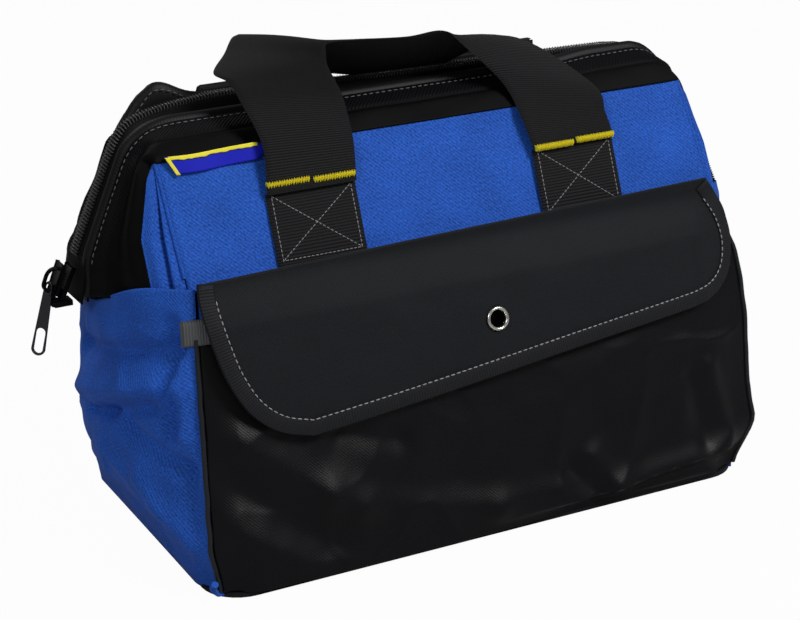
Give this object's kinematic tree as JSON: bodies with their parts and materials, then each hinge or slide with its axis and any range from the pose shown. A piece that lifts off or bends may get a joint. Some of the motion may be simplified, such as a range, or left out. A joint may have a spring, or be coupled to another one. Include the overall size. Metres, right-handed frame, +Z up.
{
  "type": "tool bag",
  "caption": "Blue and black soft tool bag with a wide framed zip mouth, two black webbing handles, a front pocket under a rounded flap with a metal eyelet, and a plain blue label tab.",
  "frame": {"origin": "middle of the flat underside, on the ground plane", "axes": "+X runs along the bag to its right end, -Y is the pocket side, +Z is up; the slider rests at the -X end"},
  "size_m": [0.4245, 0.209, 0.2676],
  "materials": {
    "blue_cloth": "matte woven polyester",
    "black_cloth": "matte woven polyester",
    "black_webbing": "ribbed webbing",
    "grey_tape": "matte binding tape",
    "black_coil": "semi-gloss nylon",
    "dark_metal": "gunmetal",
    "bright_metal": "nickel plated",
    "steel": "bare wire",
    "grey_board": "moulded board",
    "label_cloth": "satin woven"
  },
  "bodies": {
    "bag": {"bottom_panel": "black_cloth", "base_board": "grey_board", "front_wall": "blue_cloth", "back_wall": "blue_cloth", "left_gusset": "blue_cloth", "right_gusset": "blue_cloth", "front_pocket": "black_cloth", "pocket_binding": "grey_tape", "front_left_lower_piping": "blue_cloth", "front_right_lower_piping": "blue_cloth", "back_left_lower_piping": "blue_cloth", "back_right_lower_piping": "blue_cloth", "left_end_tab": "black_webbing", "right_end_tab": "black_webbing", "left_frame_pin": "steel", "right_frame_pin": "steel", "left_zip_tail": "black_coil", "right_zip_tail": "black_coil"},
    "front_handle": {"front_handle": "black_webbing"},
    "back_handle": {"back_handle": "black_webbing"},
    "flap": {"flap": "black_cloth", "flap_binding": "black_webbing", "flap_eyelet": "bright_metal"},
    "slider": {"slider_body": "dark_metal"},
    "pull": {"zip_pull": "dark_metal"},
    "front_mouth": {"front_hoop": "steel", "front_sleeve": "black_cloth", "front_zip_tape": "black_webbing", "front_zip_coil": "black_coil", "front_panel": "blue_cloth", "front_band": "black_cloth", "front_left_strip": "blue_cloth", "front_right_strip": "blue_cloth", "front_left_end": "black_cloth", "front_right_end": "black_cloth", "front_left_patch": "black_webbing", "front_right_patch": "black_webbing", "front_left_upper_piping": "blue_cloth", "front_right_upper_piping": "blue_cloth", "label_tab": "label_cloth"},
    "back_mouth": {"back_hoop": "steel", "back_sleeve": "black_cloth", "back_zip_tape": "black_webbing", "back_zip_coil": "black_coil", "back_panel": "blue_cloth", "back_band": "black_cloth", "back_left_strip": "blue_cloth", "back_right_strip": "blue_cloth", "back_left_end": "black_cloth", "back_right_end": "black_cloth", "back_left_patch": "black_webbing", "back_right_patch": "black_webbing", "back_left_upper_piping": "blue_cloth", "back_right_upper_piping": "blue_cloth"}
  },
  "joints": [
    {"name": "front_mouth_hinge", "type": "hinge", "parent": "bag", "child": "front_mouth", "pos_m": [0, 0, 0.163], "axis": [1, 0, 0], "range_deg": [0, 35]},
    {"name": "back_mouth_hinge", "type": "hinge", "parent": "bag", "child": "back_mouth", "pos_m": [0, 0, 0.163], "axis": [-1, 0, 0], "range_deg": [0, 35]},
    {"name": "front_handle_hinge", "type": "hinge", "parent": "front_mouth", "child": "front_handle", "pos_m": [0, -0.04866, 0.1935], "axis": [-1, 0, 0], "range_deg": [-155, 0]},
    {"name": "back_handle_hinge", "type": "hinge", "parent": "back_mouth", "child": "back_handle", "pos_m": [0, 0.0401, 0.2305], "axis": [1, 0, 0], "range_deg": [-20, 110]},
    {"name": "flap_hinge", "type": "hinge", "parent": "bag", "child": "flap", "pos_m": [0, -0.066, 0.15885], "axis": [-1, 0, 0], "range_deg": [0, 135]},
    {"name": "slider_slide", "type": "slide", "parent": "bag", "child": "slider", "axis": [-0.4008, 0, -0.9162], "range_m": [-0.045, 0]},
    {"name": "pull_hinge", "type": "hinge", "parent": "slider", "child": "pull", "pos_m": [-0.20535, 0, 0.14959], "axis": [0, 1, 0], "range_deg": [0, 115]}
  ]
}
